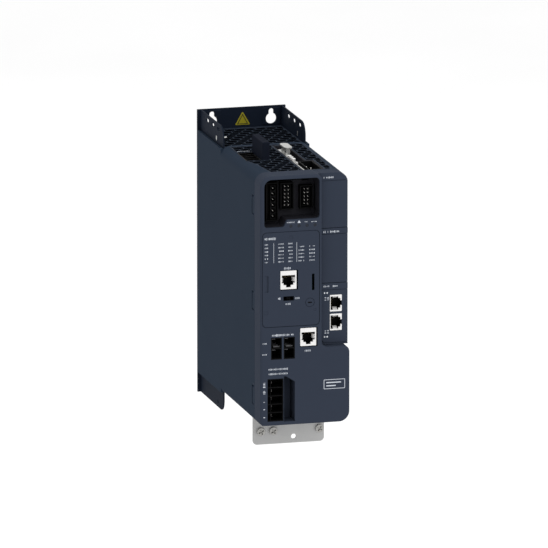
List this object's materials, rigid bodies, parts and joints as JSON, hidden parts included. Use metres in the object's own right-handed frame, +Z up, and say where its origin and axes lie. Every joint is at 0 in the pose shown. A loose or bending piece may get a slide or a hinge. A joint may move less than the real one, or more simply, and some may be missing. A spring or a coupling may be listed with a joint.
{
  "type": "servo drive",
  "caption": "Book-size servo drive for panel mounting, with plug-in terminal sockets, a removable control panel, option slots and a shield plate.",
  "frame": {"origin": "on the wall plane, at the middle of the mounting plate's bottom edge", "axes": "+Z up, +X to the right seen from the front, the front faces -Y and +Y points into the wall"},
  "size_m": [0.085, 0.2325, 0.282],
  "materials": {
    "housing_plastic": "fine spark-eroded texture",
    "tray_plastic": "satin",
    "connector_black": "satin",
    "painted_steel": "satin powder coat",
    "plated_steel": "zinc or nickel plated",
    "screw_steel": "zinc plated",
    "tinned_brass": "tin plated",
    "heatsink_aluminium": "as extruded",
    "capacitor_sleeve": "sleeved",
    "board_laminate": "solder resist",
    "ferrite": "lacquered core",
    "light_pipe": "clear moulded",
    "warning_yellow": "printed film"
  },
  "bodies": {
    "root": {"back_plate": "painted_steel", "flange_left": "painted_steel", "flange_right": "painted_steel", "ear_pins": "screw_steel", "warning_triangle": "warning_yellow", "heatsink": "heatsink_aluminium", "power_module": "connector_black", "fan_frame": "connector_black", "fan_guard": "housing_plastic", "housing_left": "housing_plastic", "housing_right": "housing_plastic", "top_grille": "housing_plastic", "rear_grille": "housing_plastic", "bottom_grille": "housing_plastic", "insulating_fin": "housing_plastic", "front_cover": "housing_plastic", "terminal_tray": "tray_plastic", "status_lights": "light_pipe", "selector_body": "connector_black", "option_bezel": "housing_plastic", "hmi_jack": "plated_steel", "can_jack": "plated_steel", "relay_header": "connector_black", "io_header_left": "connector_black", "io_header_right": "connector_black", "header_pins": "tinned_brass", "dc_socket_left": "connector_black", "dc_socket_right": "connector_black", "dc_contacts": "tinned_brass", "motor_header": "connector_black", "motor_blades": "tinned_brass", "mains_header": "connector_black", "mains_blades": "tinned_brass", "clamp_trough": "tray_plastic", "shield_rail": "plated_steel", "shield_screws": "screw_steel", "signal_socket": "connector_black", "signal_pins": "tinned_brass", "shield_plate": "plated_steel", "shield_shelf": "plated_steel", "shield_plate_screws": "screw_steel", "shelf_screws": "screw_steel", "power_board": "board_laminate", "capacitors": "capacitor_sleeve", "filter_choke": "ferrite", "relays": "connector_black", "control_board": "board_laminate", "interface_board": "board_laminate", "board_spacers": "screw_steel", "board_link": "connector_black"},
    "panel_door": {"panel_door": "housing_plastic"},
    "lock": {"quarter_turn_lock": "housing_plastic"},
    "selector": {"selector_slider": "connector_black"},
    "blank_upper": {"blank_cover_upper": "housing_plastic"},
    "blank_lower": {"blank_cover_lower": "housing_plastic"},
    "comm_module": {"comm_case": "housing_plastic", "comm_lights": "light_pipe", "comm_board": "board_laminate", "comm_jack_upper": "plated_steel", "comm_jack_lower": "plated_steel"},
    "fan_rotor": {"fan_rotor": "connector_black"}
  },
  "joints": [
    {"name": "panel_pull", "type": "slide", "parent": "root", "child": "panel_door", "axis": [0, -1, 0], "range_m": [0, 0.025]},
    {"name": "lock_turn", "type": "hinge", "parent": "panel_door", "child": "lock", "pos_m": [0.0043, -0.23, 0.1344], "axis": [0, -1, 0], "range_deg": [0, 90]},
    {"name": "selector_slide", "type": "slide", "parent": "root", "child": "selector", "axis": [1, 0, 0], "range_m": [-0.0023, 0.0023]},
    {"name": "blank_upper_pull", "type": "slide", "parent": "root", "child": "blank_upper", "axis": [0, -1, 0], "range_m": [0, 0.02]},
    {"name": "blank_lower_pull", "type": "slide", "parent": "root", "child": "blank_lower", "axis": [0, -1, 0], "range_m": [0, 0.02]},
    {"name": "comm_module_pull", "type": "slide", "parent": "root", "child": "comm_module", "axis": [0, -1, 0], "range_m": [0, 0.04]},
    {"name": "fan_spin", "type": "hinge", "parent": "root", "child": "fan_rotor", "pos_m": [0, -0.044, 0.03], "axis": [0, 0, 1], "continuous": true}
  ]
}
